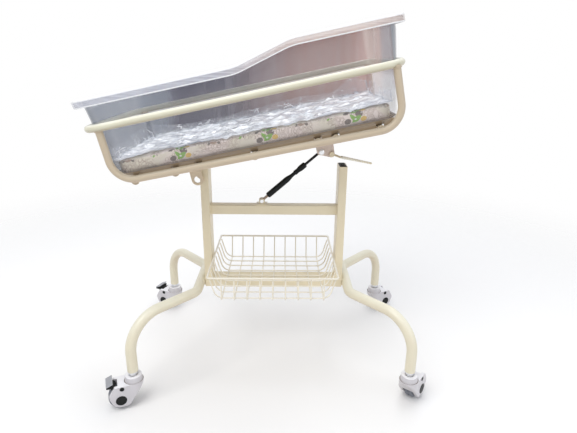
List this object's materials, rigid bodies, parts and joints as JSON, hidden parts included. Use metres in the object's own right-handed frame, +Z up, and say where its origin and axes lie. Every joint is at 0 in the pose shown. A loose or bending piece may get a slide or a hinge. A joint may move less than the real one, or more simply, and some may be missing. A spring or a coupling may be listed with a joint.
{
  "type": "hospital bassinet",
  "caption": "Clear tub in a tilting tube cradle on an H frame with bent tube legs, swivel casters, gas spring and wire basket.",
  "frame": {"origin": "on the floor, under the middle of the whole object", "axes": "+Z up; +X along the tub towards its raised head end; the front, where the parent stands, faces -Y"},
  "size_m": [0.9796, 0.6468, 1.0555],
  "materials": {
    "cream_paint": "glossy powder coat, cream",
    "bracket_paint": "satin paint, pinkish cream",
    "black_plastic": "satin black",
    "nylon": "natural nylon",
    "zinc_steel": "bright zinc plate",
    "black_paint": "satin black paint",
    "rod_steel": "black nitrided steel",
    "clear_plastic": "clear moulded plastic",
    "mattress_cloth": "printed cotton cover on foam",
    "clear_film": "thin clear film",
    "caster_shell": "pale grey-white moulding",
    "wheel_rubber": "grey tread",
    "pedal_plastic": "ribbed grey"
  },
  "bodies": {
    "base": {"leg_left": "cream_paint", "leg_right": "cream_paint", "upright_left": "cream_paint", "upright_right": "cream_paint", "lower_beam": "cream_paint", "crossbar": "cream_paint", "upright_plug": "black_plastic", "pivot_sleeve": "cream_paint", "pivot_bushes": "nylon", "upright_side_bolt": "zinc_steel", "spring_foot": "cream_paint", "spring_foot_pin": "zinc_steel", "caster_stem_front_left": "zinc_steel", "caster_stem_rear_left": "zinc_steel", "caster_stem_front_right": "zinc_steel", "caster_stem_rear_right": "zinc_steel"},
    "tray": {"tray_ring": "cream_paint", "cradle_front": "cream_paint", "cradle_rear": "cream_paint", "cross_tube_1": "cream_paint", "cross_tube_2": "cream_paint", "cross_tube_3": "cream_paint", "cross_tube_4": "cream_paint", "cross_tube_5": "cream_paint", "cross_tube_6": "cream_paint", "cross_tube_7": "cream_paint", "pivot_ear_front": "cream_paint", "pivot_ear_rear": "cream_paint", "pivot_bolt": "zinc_steel", "spring_head_bracket": "bracket_paint", "spring_head_pin": "zinc_steel"},
    "lever": {"release_lever": "cream_paint", "lever_nut": "zinc_steel"},
    "spring_body": {"spring_cylinder": "black_paint", "spring_lower_eye": "black_plastic"},
    "spring_piston": {"spring_rod": "rod_steel", "spring_upper_eye": "black_plastic"},
    "tub": {"tub": "clear_plastic"},
    "bedding": {"mattress": "mattress_cloth", "clear_cover": "clear_film"},
    "basket": {"basket_rim": "cream_paint", "basket_wires_across": "cream_paint", "basket_wires_along": "cream_paint"},
    "caster_front_left": {"caster_hood_front_left": "caster_shell", "caster_axle_front_left": "black_plastic"},
    "wheel_front_left": {"caster_wheel_front_left": "wheel_rubber"},
    "caster_rear_left": {"caster_hood_rear_left": "caster_shell", "caster_axle_rear_left": "black_plastic"},
    "wheel_rear_left": {"caster_wheel_rear_left": "wheel_rubber"},
    "caster_front_right": {"caster_hood_front_right": "caster_shell", "caster_axle_front_right": "black_plastic"},
    "wheel_front_right": {"caster_wheel_front_right": "wheel_rubber"},
    "caster_rear_right": {"caster_hood_rear_right": "caster_shell", "caster_axle_rear_right": "black_plastic"},
    "wheel_rear_right": {"caster_wheel_rear_right": "wheel_rubber"},
    "pedal_front_left": {"brake_pedal_front_left": "pedal_plastic"},
    "pedal_rear_left": {"brake_pedal_rear_left": "pedal_plastic"}
  },
  "joints": [
    {"name": "tray_tilt", "type": "hinge", "parent": "base", "child": "tray", "pos_m": [-0.1858, -0.0026, 0.652], "axis": [0, 1, 0], "range_deg": [0, 12.35]},
    {"name": "spring_swing", "type": "hinge", "parent": "base", "child": "spring_body", "pos_m": [-0.0153, -0.0026, 0.529], "axis": [0, 1, 0], "range_deg": [-1, 18]},
    {"name": "spring_stroke", "type": "slide", "parent": "spring_body", "child": "spring_piston", "axis": [0.7532, 0, 0.6578], "range_m": [-0.048, 0.001]},
    {"name": "lever_squeeze", "type": "hinge", "parent": "tray", "child": "lever", "pos_m": [0.19424, -0.0026, 0.67891], "axis": [0, -1, 0], "range_deg": [0, 12], "stiffness_Nm_per_rad": 0.4, "springref_deg": -5.73},
    {"name": "tub_lift", "type": "slide", "parent": "tray", "child": "tub", "axis": [-0.2139, 0, 0.9769], "range_m": [0, 0.25]},
    {"name": "mattress_lift", "type": "slide", "parent": "tub", "child": "bedding", "axis": [-0.2139, 0, 0.9769], "range_m": [0, 0.25]},
    {"name": "basket_lift", "type": "slide", "parent": "base", "child": "basket", "axis": [0, 0, 1], "range_m": [0, 0.12]},
    {"name": "swivel_front_left", "type": "hinge", "parent": "base", "child": "caster_front_left", "pos_m": [-0.3723, -0.2726, 0.085], "axis": [0, 0, 1], "continuous": true},
    {"name": "spin_front_left", "type": "hinge", "parent": "caster_front_left", "child": "wheel_front_left", "pos_m": [-0.40872, -0.28709, 0.0335], "axis": [0.3697, -0.9291, 0], "continuous": true},
    {"name": "brake_front_left", "type": "hinge", "parent": "caster_front_left", "child": "pedal_front_left", "pos_m": [-0.42154, -0.2922, 0.07], "axis": [0.3697, -0.9291, 0], "range_deg": [0, 12]},
    {"name": "swivel_rear_left", "type": "hinge", "parent": "base", "child": "caster_rear_left", "pos_m": [-0.3723, 0.2674, 0.085], "axis": [0, 0, 1], "continuous": true},
    {"name": "spin_rear_left", "type": "hinge", "parent": "caster_rear_left", "child": "wheel_rear_left", "pos_m": [-0.40822, 0.28309, 0.0335], "axis": [-0.4003, -0.9164, 0], "continuous": true},
    {"name": "brake_rear_left", "type": "hinge", "parent": "caster_rear_left", "child": "pedal_rear_left", "pos_m": [-0.42087, 0.28862, 0.07], "axis": [-0.4003, -0.9164, 0], "range_deg": [0, 12]},
    {"name": "swivel_front_right", "type": "hinge", "parent": "base", "child": "caster_front_right", "pos_m": [0.4157, -0.2726, 0.085], "axis": [0, 0, 1], "continuous": true},
    {"name": "spin_front_right", "type": "hinge", "parent": "caster_front_right", "child": "wheel_front_right", "pos_m": [0.4401, -0.24192, 0.0335], "axis": [-0.7826, 0.6225, 0], "continuous": true},
    {"name": "swivel_rear_right", "type": "hinge", "parent": "base", "child": "caster_rear_right", "pos_m": [0.4157, 0.2674, 0.085], "axis": [0, 0, 1], "continuous": true},
    {"name": "spin_rear_right", "type": "hinge", "parent": "caster_rear_right", "child": "wheel_rear_right", "pos_m": [0.45047, 0.2855, 0.0335], "axis": [-0.4617, 0.887, 0], "continuous": true}
  ],
  "couplings": [
    {"joint": "spring_swing", "follows": "tray_tilt", "ratio": 1.3251},
    {"joint": "spring_stroke", "follows": "tray_tilt", "m_per_rad": -0.19776}
  ]
}
